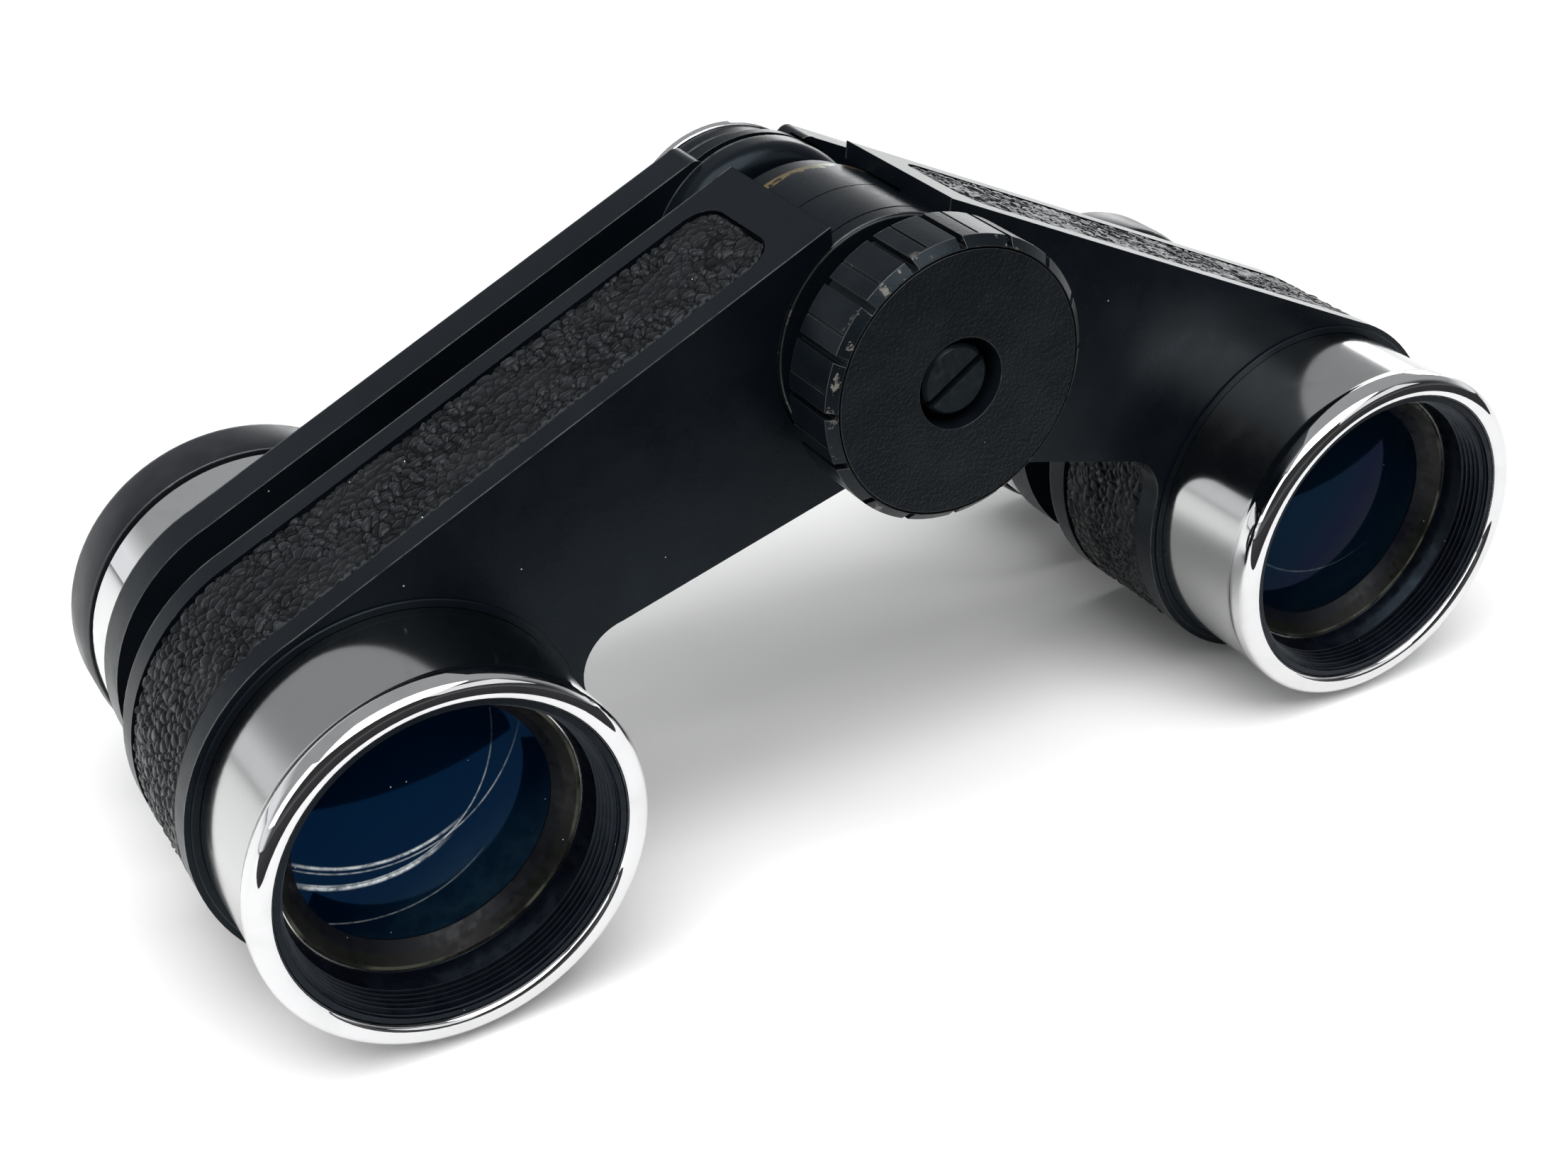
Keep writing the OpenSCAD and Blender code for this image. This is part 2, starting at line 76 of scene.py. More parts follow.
# ---- Material graphs ----
class Paint:
    """A Principled material with helpers for procedural detail in object space."""

    def __init__(self, name, color, roughness, metallic=0.0, specular=0.5):
        self.mat = bpy.data.materials.new(name)
        self.mat.use_nodes = True
        self.tree = self.mat.node_tree
        self.tree.nodes.clear()
        self.shader = self.tree.nodes.new("ShaderNodeBsdfPrincipled")
        out = self.tree.nodes.new("ShaderNodeOutputMaterial")
        self.link(self.shader.outputs[0], out.inputs["Surface"])
        self.here = self.tree.nodes.new("ShaderNodeTexCoord").outputs["Object"]
        self.set("Base Color", (*color, 1))
        self.set("Roughness", roughness)
        self.set("Metallic", metallic)
        self.set("Specular IOR Level", specular)
        self.mat.diffuse_color = (*color, 1)

    def link(self, a, b):
        self.tree.links.new(a, b)

    def set(self, name, value):
        if isinstance(value, bpy.types.NodeSocket):
            self.link(value, self.shader.inputs[name])
        else:
            self.shader.inputs[name].default_value = value

    def put(self, socket, value):
        if isinstance(value, bpy.types.NodeSocket):
            self.link(value, socket)
        else:
            socket.default_value = value

    def noise(self, size_mm, detail=3.0, rough=0.5, where=None, distortion=0.0):
        n = self.tree.nodes.new("ShaderNodeTexNoise")
        self.link(where or self.here, n.inputs["Vector"])
        n.inputs["Scale"].default_value = 1 / (size_mm * MM)
        n.inputs["Detail"].default_value = detail
        n.inputs["Roughness"].default_value = rough
        n.inputs["Distortion"].default_value = distortion
        return n.outputs["Fac"]

    def cells(self, size_mm, feature="F1"):
        n = self.tree.nodes.new("ShaderNodeTexVoronoi")
        n.feature = feature
        self.link(self.here, n.inputs["Vector"])
        n.inputs["Scale"].default_value = 1 / (size_mm * MM)
        return n

    def math(self, op, a, b=0.0):
        n = self.tree.nodes.new("ShaderNodeMath")
        n.operation = op
        self.put(n.inputs[0], a)
        self.put(n.inputs[1], b)
        return n.outputs[0]

    def ramp(self, value, lo, hi, out_lo=0.0, out_hi=1.0):
        n = self.tree.nodes.new("ShaderNodeMapRange")
        n.interpolation_type = "SMOOTHSTEP"
        self.put(n.inputs["Value"], value)
        for key, number in (("From Min", lo), ("From Max", hi), ("To Min", out_lo), ("To Max", out_hi)):
            self.put(n.inputs[key], number)
        return n.outputs["Result"]

    def mix(self, factor, a, b):
        n = self.tree.nodes.new("ShaderNodeMix")
        n.data_type = "RGBA"
        self.put(n.inputs["Factor"], factor)
        self.put(n.inputs["A"], (*a, 1) if isinstance(a, tuple) else a)
        self.put(n.inputs["B"], (*b, 1) if isinstance(b, tuple) else b)
        return n.outputs["Result"]

    def shifted(self, origin):
        n = self.tree.nodes.new("ShaderNodeMapping")
        n.vector_type = "POINT"
        self.link(self.here, n.inputs["Vector"])
        n.inputs["Location"].default_value = [-c for c in origin]
        return n.outputs["Vector"]

    def parts(self, vector=None):
        n = self.tree.nodes.new("ShaderNodeSeparateXYZ")
        self.link(vector or self.here, n.inputs[0])
        return n.outputs[0], n.outputs[1], n.outputs[2]

    def facing(self):
        """The surface's own direction, as x, y and z parts."""
        return self.parts(self.tree.nodes.new("ShaderNodeTexCoord").outputs["Normal"])

    def radius(self, x, z):
        return self.math("SQRT", self.math("ADD", self.math("MULTIPLY", x, x), self.math("MULTIPLY", z, z)))

    def bump(self, height, depth_mm):
        n = self.tree.nodes.new("ShaderNodeBump")
        n.inputs["Distance"].default_value = depth_mm * MM
        n.inputs["Strength"].default_value = 1.0
        self.link(height, n.inputs["Height"])
        return n.outputs[0]

    def dust(self, size_mm=2.2, reach=0.022, share=0.35):
        """A factor that is 1 on sparse tiny specks."""
        n = self.cells(size_mm)
        near = self.math("LESS_THAN", n.outputs["Distance"], reach)
        pick = self.tree.nodes.new("ShaderNodeSeparateColor")
        self.link(n.outputs["Color"], pick.inputs[0])
        return self.math("MULTIPLY", near, self.math("LESS_THAN", pick.outputs[0], share))


def enamel(name, rims=(), polished=False, with_brass=False):
    """Black enamel with a thin pale line along the rims, partly wear and partly painted highlight, and
    glossier where a hand has polished it.
    """
    p = Paint(name, (0.0035, 0.0052, 0.0078), 0.3, specular=0.15)
    p.set("Specular Tint", (0.70, 0.88, 1.0, 1))
    nx, ny, _ = p.facing()
    y = p.parts()[1]
    cloud = p.noise(9, detail=4)
    fine = p.noise(0.22, detail=2)
    color = p.mix(p.ramp(cloud, 0.35, 0.7), (0.0022, 0.0036, 0.0056), (0.0042, 0.0060, 0.0085))
    rough = p.ramp(p.noise(3.5, detail=5, rough=0.65), 0.3, 0.75, 0.24, 0.36)
    sideways = p.ramp(p.math("ABSOLUTE", ny), 0.25, 0.5, 1.0, 0.0)
    worn_highlight_patches = p.ramp(p.noise(1.6, detail=5, rough=0.7), 0.32, 0.62, 0.15, 1.0)
    # Each rim gets a pale line on the sideways faces: partly rubbed wear, partly a painted highlight standing
    # in for light catching the edge.
    for rim in rims:
        near = p.ramp(p.math("ABSOLUTE", p.math("SUBTRACT", y, rim * MM)), 0.06 * MM, 0.15 * MM, 1.0, 0.0)
        line = p.math("MULTIPLY", p.math("MULTIPLY", near, sideways), worn_highlight_patches)
        color = p.mix(p.math("MULTIPLY", line, 0.85), color, (0.075, 0.076, 0.074))
    if polished:
        top = p.ramp(nx, 0.30, 0.45)
        p.set("Specular IOR Level", p.ramp(top, 0, 1, 0.15, 0.75))
        rough = p.math("MULTIPLY", rough, p.ramp(top, 0, 1, 1.0, 0.45))
    if with_brass:
        x, _, z = p.parts(p.shifted((0, 0, HINGE_Z * MM)))
        r = p.radius(x, z)
        ragged = p.ramp(p.noise(0.8), 0.2, 0.8, -BRASS_RAGGED * MM, BRASS_RAGGED * MM)
        rear = p.ramp(p.math("ADD", y, ragged), BRASS_FROM * MM, (BRASS_FROM + 0.12) * MM)
        shell = p.math("MULTIPLY", p.math("LESS_THAN", r, 7.6 * MM),
                       p.math("LESS_THAN", y, (BRASS_FROM + BRASS_BAND) * MM))
        worn = p.math("MULTIPLY", rear, shell)
        patch = p.ramp(p.noise(1.3, detail=4), 0.42, 0.52)
        worn = p.math("MULTIPLY", worn, patch)
        color = p.mix(worn, color, (0.30, 0.22, 0.10))
        p.set("Metallic", worn)
    specks = p.dust()
    color = p.mix(specks, color, (0.42, 0.42, 0.40))
    p.set("Base Color", color)
    p.set("Roughness", rough)
    p.set("Normal", p.bump(fine, 0.003))
    return p.mat


def worn_edge(name, base=(0.035, 0.036, 0.038), metal=(0.36, 0.34, 0.30), amount=0.56):
    """Bevelled edges, where the finish is rubbed thin and in places through to the metal."""
    p = Paint(name, base, 0.33, specular=0.6)
    through = p.ramp(p.noise(0.7, detail=6, rough=0.7), amount, amount + 0.05)
    thin = p.ramp(p.noise(4.0, detail=3), 0.35, 0.65)
    color = p.mix(thin, tuple(c * 0.45 for c in base), base)
    p.set("Base Color", p.mix(through, color, metal))
    p.set("Metallic", p.math("MULTIPLY", through, 0.85))
    p.set("Roughness", p.ramp(p.noise(0.4), 0.3, 0.7, 0.28, 0.5))
    return p.mat


def chrome(name, origin):
    """Bright plating, a little softer on the turned tube than on the rolled rim."""
    p = Paint(name, (0.80, 0.80, 0.81), 0.05, metallic=1.0)
    smudge = p.ramp(p.noise(4.5, detail=5, rough=0.6, distortion=0.6), 0.45, 0.8)
    x, y, z = p.parts(p.shifted(origin))
    angle = p.math("ARCTAN2", z, x)
    swirl = p.tree.nodes.new("ShaderNodeCombineXYZ")
    p.put(swirl.inputs[0], p.math("MULTIPLY", angle, 0.004))
    p.put(swirl.inputs[1], p.math("MULTIPLY", y, 14.0))
    hair = p.noise(0.9, detail=6, rough=0.7, where=swirl.outputs[0])
    specks = p.dust(1.6, 0.02, 0.3)
    on_tube = p.math("MULTIPLY", p.ramp(p.parts()[1], (RIM_Y + 1.3) * MM, (RIM_Y + 2.0) * MM),
                     p.math("LESS_THAN", p.parts()[1], 0))
    clean = p.mix(on_tube, (0.70, 0.70, 0.71), (0.50, 0.505, 0.505))
    color = p.mix(p.math("MULTIPLY", smudge, 0.3), clean, (0.40, 0.40, 0.395))
    p.set("Base Color", p.mix(specks, color, (0.22, 0.21, 0.19)))
    rough = p.math("ADD", p.ramp(smudge, 0, 1, 0.02, 0.09), p.ramp(hair, 0.55, 0.8, 0, 0.04))
    rough = p.math("ADD", rough, p.math("MULTIPLY", on_tube, 0.12))
    p.set("Roughness", rough)
    p.set("Normal", p.bump(p.noise(6, detail=2), 0.006))
    return p.mat


def black_ring(name):
    p = Paint(name, (0.008, 0.010, 0.014), 0.3, specular=0.28)
    cloud = p.ramp(p.noise(1.8, detail=5), 0.4, 0.75)
    color = p.mix(cloud, (0.006, 0.0075, 0.0105), (0.012, 0.0135, 0.017))
    p.set("Base Color", p.mix(p.dust(0.9, 0.03, 0.25), color, (0.45, 0.45, 0.42)))
    p.set("Roughness", p.ramp(p.noise(2.6, detail=4), 0.3, 0.7, 0.28, 0.40))
    p.set("Normal", p.bump(p.noise(0.15), 0.002))
    return p.mat


def baffle_black(name):
    """Black threaded wall inside the rim, with painted highlights on the rib crests and dust caught in it."""
    p = Paint(name, (0.004, 0.005, 0.009), 0.34, specular=0.2)
    p.set("Specular Tint", (0.6, 0.8, 1.0, 1))
    color = p.mix(p.ramp(p.noise(1.5, detail=5), 0.5, 0.8), (0.0012, 0.0018, 0.0038), (0.004, 0.005, 0.008))
    y = p.parts()[1]
    turn = p.math("FRACT", p.math("DIVIDE", p.math("SUBTRACT", y, (RIM_Y + RIBS_FROM) * MM), RIB_PITCH * MM))
    # Painted highlight: the rib crests are coloured lighter, as if catching the light.
    crest_highlight = p.ramp(p.math("ABSOLUTE", p.math("SUBTRACT", turn, 0.5)), 0.12, 0.26, 1.0, 0.0)
    on_ribs = p.math("LESS_THAN", y, (RIM_Y + RIBS_TO) * MM)
    color = p.mix(p.math("MULTIPLY", crest_highlight, on_ribs), color, (0.022, 0.024, 0.029))
    p.set("Base Color", p.mix(p.dust(0.7, 0.04, 0.22), color, (0.55, 0.55, 0.52)))
    p.set("Roughness", p.ramp(p.noise(1.0, detail=4), 0.3, 0.7, 0.22, 0.42))
    return p.mat


def olive(name, origin):
    """Retaining ring: olive-grey cone in front, black step behind it, a painted highlight on the front edge.
    """
    p = Paint(name, (0.03, 0.033, 0.028), 0.34, specular=0.16)
    x, _, z = p.parts(p.shifted(origin))
    r = p.radius(x, z)
    cone = p.mix(p.noise(1.4, detail=5), (0.0022, 0.0028, 0.0024), (0.0065, 0.0078, 0.0060))
    patchy = p.ramp(p.noise(2.2, detail=3), 0.4, 0.62, 0.1, 1.0)
    # Painted highlight: a patchy pale band along the front edge.
    lit = p.math("MULTIPLY", p.ramp(r, 8.52 * MM, 8.62 * MM), patchy)
    cone = p.mix(lit, cone, (0.085, 0.09, 0.068))
    color = p.mix(p.ramp(r, 8.0 * MM, 8.06 * MM), (0.003, 0.004, 0.007), cone)
    p.set("Base Color", p.mix(p.dust(0.8, 0.045, 0.2), color, (0.6, 0.6, 0.45)))
    p.set("Roughness", p.ramp(p.noise(0.6, detail=4), 0.3, 0.7, 0.26, 0.5))
    return p.mat


def turned_metal(name, color, dark, origin, roughness=0.28):
    p = Paint(name, color, roughness, metallic=1.0)
    x, y, z = p.parts(p.shifted(origin))
    rings = p.tree.nodes.new("ShaderNodeCombineXYZ")
    p.put(rings.inputs[0], p.radius(x, z))
    p.put(rings.inputs[1], y)
    lines = p.noise(0.06, detail=2, where=rings.outputs[0])
    stain = p.ramp(p.noise(1.6, detail=6, rough=0.65), 0.4, 0.7)
    p.set("Base Color", p.mix(stain, color, dark))
    p.set("Roughness", p.ramp(stain, 0, 1, roughness, roughness + 0.2))
    p.set("Normal", p.bump(lines, 0.002))
    return p.mat


def wheel_black(name, front_y):
    """Moulded wheel: a fine-textured face, smoother lands, and chips on the lands' front corners."""
    p = Paint(name, (0.004, 0.006, 0.008), 0.4, specular=0.16)
    p.set("Specular Tint", (0.72, 0.9, 1.0, 1))
    x, y, z = p.parts(p.shifted((0, front_y, HINGE_Z * MM)))
    r = p.radius(x, z)
    on_face = p.math("LESS_THAN", y, 0.06 * MM)
    grain = p.cells(0.16, feature="SMOOTH_F1").outputs["Distance"]
    pits = p.noise(0.3, detail=4, rough=0.7)
    height = p.math("MULTIPLY", p.math("ADD", grain, pits), p.ramp(on_face, 0, 1, 0.15, 1.0))
    cloud = p.ramp(p.noise(2.4, detail=5), 0.35, 0.7)
    color = p.mix(cloud, (0.0028, 0.0042, 0.0062), (0.0052, 0.0070, 0.0095))
    ring_zone = p.math("MULTIPLY", p.ramp(r, 7.75 * MM, 8.0 * MM), p.ramp(y, 1.1 * MM, 0.3 * MM))
    chip = p.math("MULTIPLY", p.ramp(p.noise(0.9, detail=5, rough=0.7), 0.60, 0.64), ring_zone)
    color = p.mix(p.math("MULTIPLY", chip, 0.6), color, (0.20, 0.185, 0.16))
    p.set("Base Color", p.mix(p.dust(1.4, 0.025, 0.3), color, (0.4, 0.4, 0.38)))
    p.set("Roughness", p.ramp(on_face, 0, 1, 0.3, 0.47))
    p.set("Normal", p.bump(height, 0.04))
    return p.mat


def leather(name):
    p = Paint(name, (0.01, 0.0105, 0.012), 0.4, specular=0.16)
    p.set("Specular Tint", (0.85, 0.93, 1.0, 1))
    top = p.tree.nodes.new("ShaderNodeAttribute")
    top.attribute_name = "grain"
    height = top.outputs["Fac"]
    # Painted shade by height: the creases and the sunk strip edges are coloured near black, the pebble tops
    # lighter.
    shaded_by_height = p.mix(p.ramp(height, 0.2, 0.9), (0.0005, 0.0006, 0.0009), (0.0100, 0.0110, 0.0130))
    greyed = p.math("MULTIPLY", p.ramp(p.noise(2.8, detail=4), 0.45, 0.75), 0.4)
    color = p.mix(greyed, shaded_by_height, (0.016, 0.016, 0.017))
    rub = p.math("MULTIPLY", p.ramp(height, 0.82, 0.98), p.ramp(p.noise(1.1, detail=3), 0.5, 0.7))
    color = p.mix(p.math("MULTIPLY", rub, 0.5), color, (0.075, 0.075, 0.078))
    p.set("Base Color", p.mix(p.dust(1.3, 0.03, 0.35), color, (0.6, 0.6, 0.57)))
    p.set("Roughness", p.ramp(p.noise(0.5, detail=4), 0.3, 0.7, 0.22, 0.40))
    p.set("Normal", p.bump(p.noise(0.13, detail=2), 0.005))
    return p.mat


def coated_glass(name, origin, arcs, coating, dustiness):
    """Deep blue coated objective: painted highlight arcs for the reflections of the inner edges, broken up,
    with dust towards the lower rim.
    """
    p = Paint(name, coating, 0.03, specular=0.15)
    x, _, z = p.parts(p.shifted(origin))
    low = p.ramp(p.math("SUBTRACT", p.math("MULTIPLY", x, 0.45), z), 1.0 * MM, 8.0 * MM)
    haze = p.math("MULTIPLY", low, p.ramp(p.noise(1.8, detail=6, rough=0.7), 0.25, 0.75, 0.35, 1.0))
    cover = p.math("MULTIPLY", haze, dustiness)
    color = p.mix(cover, coating, (0.014, 0.040, 0.062))
    # Each arc is a painted highlight: the reflection of an inner edge, painted into the colour.
    for (cx, cz), radius, width, (left, right), light in arcs:
        r = p.radius(p.math("SUBTRACT", x, cx * MM), p.math("SUBTRACT", z, cz * MM))
        off = p.math("ABSOLUTE", p.math("SUBTRACT", r, radius * MM))
        line = p.ramp(off, 0.0, width * MM, 1.0, 0.0)
        starts = p.ramp(x, left * MM, (left + 1.5) * MM)
        span = p.math("MULTIPLY", starts, p.ramp(x, right * MM, (right - 3.5) * MM))
        below = p.math("LESS_THAN", z, cz * MM)
        broken = p.ramp(p.noise(0.7, detail=5, rough=0.7), 0.3, 0.62, 0.15, 1.0)
        line = p.math("MULTIPLY", p.math("MULTIPLY", line, below), p.math("MULTIPLY", span, broken))
        line = p.math("MULTIPLY", line, light)
        color = p.mix(line, color, (0.72, 0.78, 0.80))
        cover = p.math("MAXIMUM", cover, line)
    specks = p.dust(0.9, 0.04, 0.25)
    p.set("Base Color", p.mix(specks, color, (0.5, 0.5, 0.48)))
    p.set("Metallic", p.math("MULTIPLY", p.math("SUBTRACT", 1.0, p.math("MAXIMUM", cover, specks)), 0.6))
    p.set("Specular Tint", (0.02, 0.10, 0.20, 1))
    p.set("Roughness", p.ramp(haze, 0, 1, 0.05, 0.2))
    return p.mat


def clear_glass(name):
    p = Paint(name, (0.010, 0.014, 0.018), 0.03, specular=0.6)
    p.set("Base Color", p.mix(p.dust(0.8, 0.03, 0.2), (0.008, 0.012, 0.017), (0.4, 0.4, 0.38)))
    p.set("Roughness", p.ramp(p.noise(2.0, detail=5), 0.4, 0.8, 0.02, 0.12))
    p.set("IOR", 1.6)
    p.set("Coat Weight", 0.3)
    p.set("Coat Tint", (0.75, 0.6, 1.0, 1))
    return p.mat


def screw_steel(name):
    p = Paint(name, (0.006, 0.008, 0.011), 0.36, specular=0.3)
    p.set("Specular Tint", (0.72, 0.9, 1.0, 1))
    stain = p.ramp(p.noise(0.6, detail=6, rough=0.7), 0.45, 0.75)
    color = p.mix(stain, (0.005, 0.0075, 0.010), (0.011, 0.014, 0.017))
    p.set("Base Color", color)
    p.set("Roughness", p.ramp(p.noise(0.35, detail=4), 0.3, 0.7, 0.28, 0.45))
    p.set("Normal", p.bump(p.noise(0.1), 0.004))
    return p.mat


# ---- The CAD nodes: welded, smoothed, edges rounded ----
def smoothing_group():
    group = bpy.data.node_groups.new("weld_and_smooth", "GeometryNodeTree")
    group.interface.new_socket("Geometry", in_out="INPUT", socket_type="NodeSocketGeometry")
    group.interface.new_socket("Geometry", in_out="OUTPUT", socket_type="NodeSocketGeometry")
    new = group.nodes.new
    link = group.links.new
    source, result = new("NodeGroupInput"), new("NodeGroupOutput")
    last = source.outputs[0]
    for name in ("custom_normal", "sharp_edge"):
        drop = new("GeometryNodeRemoveAttribute")
        drop.inputs["Name"].default_value = name
        link(last, drop.inputs[0])
        last = drop.outputs[0]
    weld = new("GeometryNodeMergeByDistance")
    weld.inputs["Distance"].default_value = 0.002 * MM
    link(last, weld.inputs["Geometry"])
    smooth = new("GeometryNodeSetShadeSmooth")
    link(weld.outputs[0], smooth.inputs["Geometry"])
    sharp = new("GeometryNodeSetShadeSmooth")
    sharp.domain = "EDGE"
    sharp.inputs["Shade Smooth"].default_value = False
    angle = new("GeometryNodeInputMeshEdgeAngle")
    over = new("FunctionNodeCompare")
    over.operation = "GREATER_THAN"
    over.inputs[1].default_value = math.radians(28)
    link(angle.outputs[0], over.inputs[0])
    link(over.outputs[0], sharp.inputs["Selection"])
    link(smooth.outputs[0], sharp.inputs["Geometry"])
    link(sharp.outputs[0], result.inputs[0])
    return group


SMOOTH = smoothing_group()


def dress(node, material, edge=None, width=0.0):
    obj = nodes[node]
    obj.data.materials.clear()
    obj.data.materials.append(material)
    tidy = obj.modifiers.new("smooth", "NODES")
    tidy.node_group = SMOOTH
    if width:
        bevel = obj.modifiers.new("edges", "BEVEL")
        bevel.width = width * MM
        bevel.segments = 2
        bevel.limit_method = "ANGLE"
        bevel.angle_limit = math.radians(35)
        bevel.use_clamp_overlap = True
        bevel.harden_normals = True
        bevel.miter_outer = "MITER_ARC"
        if edge:
            obj.data.materials.append(edge)
            bevel.material = 1


KNUCKLE_STEP = 1.95
BRASS_BAND = 0.6
BRASS_RAGGED = 0.35
BRASS_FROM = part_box("left_body")[1].y / MM - KNUCKLE_STEP - 0.55
AXIS = (0, 0, HINGE_Z * MM)
BODY_RIMS = [v.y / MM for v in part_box("left_body")]
PLATE_THICKNESS = 2.7
PLATE_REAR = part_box("left_eyepiece_barrel")[0].y / MM
PLATE_RIMS = [PLATE_REAR - PLATE_THICKNESS, PLATE_REAR]
ENAMEL = enamel("black_enamel")
BODY_ENAMEL = {"left": enamel("black_enamel_left", BODY_RIMS, with_brass=True),
               "right": enamel("black_enamel_right", BODY_RIMS, polished=True)}
PLATE_ENAMEL = {"left": enamel("plate_enamel_left", PLATE_RIMS),
                "right": enamel("plate_enamel_right", PLATE_RIMS, polished=True)}
EDGE = worn_edge("enamel_worn_edge", base=(0.022, 0.024, 0.027), amount=0.61)
PLATE_EDGE = worn_edge("plate_worn_edge", base=(0.016, 0.018, 0.021), amount=0.65)
RING = black_ring("black_ring")
RING_EDGE = worn_edge("ring_edge", base=(0.03, 0.031, 0.034), amount=0.64)
EYE_GLASS = clear_glass("clear_glass")
SCREW = screw_steel("dark_steel")
BRASS = turned_metal("bare_brass", (0.52, 0.38, 0.17), (0.20, 0.14, 0.07), AXIS)
STEEL = turned_metal("bare_steel", (0.48, 0.49, 0.51), (0.24, 0.24, 0.25), AXIS, 0.24)
WHEEL = wheel_black("wheel_plastic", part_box("focus_wheel")[0].y)
WHEEL_EDGE = worn_edge("wheel_worn_edge", base=(0.02, 0.022, 0.025), metal=(0.24, 0.22, 0.19), amount=0.63)

# Painted highlight arcs in each objective: centre (x, z), radius, half width, span in x (mm), brightness
LENS_HIGHLIGHT_ARCS = {
    "left": [((-2.8, 8.3), 9.4, 0.16, (-8.0, 2.5), 0.8), ((-2.8, 8.1), 9.55, 0.09, (-8.0, 6.5), 0.35),
             ((-3.6, 5.7), 8.0, 0.21, (-8.0, 1.5), 1.0), ((-3.6, 5.9), 8.0, 0.08, (-8.0, 5.5), 0.5),
             ((-3.1, 3.7), 8.7, 0.10, (-7.0, 3.5), 0.4)],
    "right": [((-0.6, 4.6), 8.4, 0.10, (-6.5, 3.5), 0.10)],
}
LENS_COATING = {"left": (0.0006, 0.0085, 0.027), "right": (0.002, 0.009, 0.021)}
LENS_DUST = {"left": 0.7, "right": 0.2}

for side in SIDES:
    barrel = tuple(BARREL[side] * MM)
    plating = chrome(f"chrome_{side}", barrel)
    dress(f"{side}_body", BODY_ENAMEL[side], EDGE, 0.11)
    dress(f"{side}_collar", ENAMEL)
    dress(f"{side}_objective_tube", plating)
    dress(f"{side}_baffle", baffle_black(f"baffle_black_{side}"))
    dress(f"{side}_lens_ring", olive(f"olive_ring_{side}", barrel))
    glass = coated_glass(f"coated_glass_{side}", barrel, LENS_HIGHLIGHT_ARCS[side], LENS_COATING[side], LENS_DUST[side])
    dress(f"{side}_objective_lens", glass)
    dress(f"{side}_guide_bush", BRASS)
    dress(f"{side}_eyepiece_plate", PLATE_ENAMEL[side], PLATE_EDGE, 0.12)
    dress(f"{side}_eyepiece_tube", RING)
    dress(f"{side}_eyepiece_barrel", plating, width=0.08)
    dress(f"{side}_eyepiece_rim", RING, RING_EDGE, 0.08)
    dress(f"{side}_eyepiece_lens", EYE_GLASS)
    dress(f"{side}_eyepiece_lens_ring", RING)
dress("hinge_flange", ENAMEL, EDGE, 0.06)
dress("hinge_sleeve", STEEL)
dress("focus_screw", BRASS)
dress("wheel_washer", BRASS)
dress("focus_wheel", WHEEL, WHEEL_EDGE, 0.06)
dress("wheel_screw", SCREW, width=0.06)
dress("spindle", STEEL)
dress("rear_cap", chrome("chrome_cap", AXIS), width=0.06)
dress("rear_cap_disc", RING)
dress("rear_cap_screw", SCREW, width=0.06)

# ---- Leatherette: a pebbled skin in each body's groove ----
LEATHER_TOP = 0.05
LEATHER_SINK = -0.40
LEATHER_RELIEF = 0.30
ARM_TOP = 8.6
ARM_LOW = 7.95
LOW_ANGLE = math.radians(14.8)
HOLLOW_R = 3.2
BODY_R = BARREL["left"].z - LEATHER_TOP
STRIP_START = 2.3
STRIP_END = 9.0
CORNER = 1.9


def strip_path(step):
    """Points and outward normals along the strip, from the hinge end round to the underside."""
    rise = math.asin(BODY_R / math.hypot(REACH, ARM_TOP)) - math.atan2(ARM_TOP, REACH)
    centre_uv = np.array([REACH, 0.0])
    top_out = np.array([-math.sin(rise), math.cos(rise)])
    low_dir = np.array([math.cos(LOW_ANGLE), math.sin(LOW_ANGLE)])
    low_out = np.array([math.sin(LOW_ANGLE), -math.cos(LOW_ANGLE)])
    offset = np.array([0.0, -ARM_LOW]) + HOLLOW_R * low_out - centre_uv
    along = offset @ low_dir
    reach = math.sqrt(along ** 2 - offset @ offset + (BODY_R + HOLLOW_R) ** 2)
    hollow = centre_uv + offset - (along + reach) * low_dir
    toward = (hollow - centre_uv) / np.linalg.norm(hollow - centre_uv)

    start = np.array([STRIP_START, ARM_TOP + STRIP_START * math.tan(rise)])
    end = centre_uv + BODY_R * top_out
    length = np.linalg.norm(end - start)
    n = max(2, round(length / step))
    points = [start + (end - start) * i / n for i in range(n)]
    normals = [top_out] * n
    a0 = math.pi / 2 + rise
    a1 = math.atan2(toward[1], toward[0])
    n = round((a0 - a1) * BODY_R / step)
    for i in range(n):
        a = a0 + (a1 - a0) * i / n
        d = np.array([math.cos(a), math.sin(a)])
        points.append(centre_uv + BODY_R * d)
        normals.append(d)
    b0 = math.pi + a1
    b1 = math.pi / 2 + LOW_ANGLE
    n = max(4, round(abs(b1 - b0) * HOLLOW_R / step))
    for i in range(n):
        a = b0 + (b1 - b0) * i / n
        d = np.array([math.cos(a), math.sin(a)])
        points.append(hollow + HOLLOW_R * d)
        normals.append(-d)
    start = hollow - HOLLOW_R * low_out
    length = (start[0] - STRIP_END) / low_dir[0]
    n = max(2, round(length / step))
    for i in range(n + 1):
        points.append(start - low_dir * length * i / n)
        normals.append(low_out)
    return np.array(points), np.array(normals)


def lattice_noise(x, y, size, seed):
    """Smooth value noise between 0 and 1."""
    rng = np.random.RandomState(seed)
    gx, gy = x / size + 3, y / size + 3
    ix, iy = np.floor(gx).astype(int), np.floor(gy).astype(int)
    table = rng.rand(ix.max() + 3, iy.max() + 3)
    fx, fy = gx - ix, gy - iy
    fx, fy = fx * fx * (3 - 2 * fx), fy * fy * (3 - 2 * fy)
    near = table[ix, iy] * (1 - fx) + table[ix + 1, iy] * fx
    far = table[ix, iy + 1] * (1 - fx) + table[ix + 1, iy + 1] * fx
    return near * (1 - fy) + far * fy


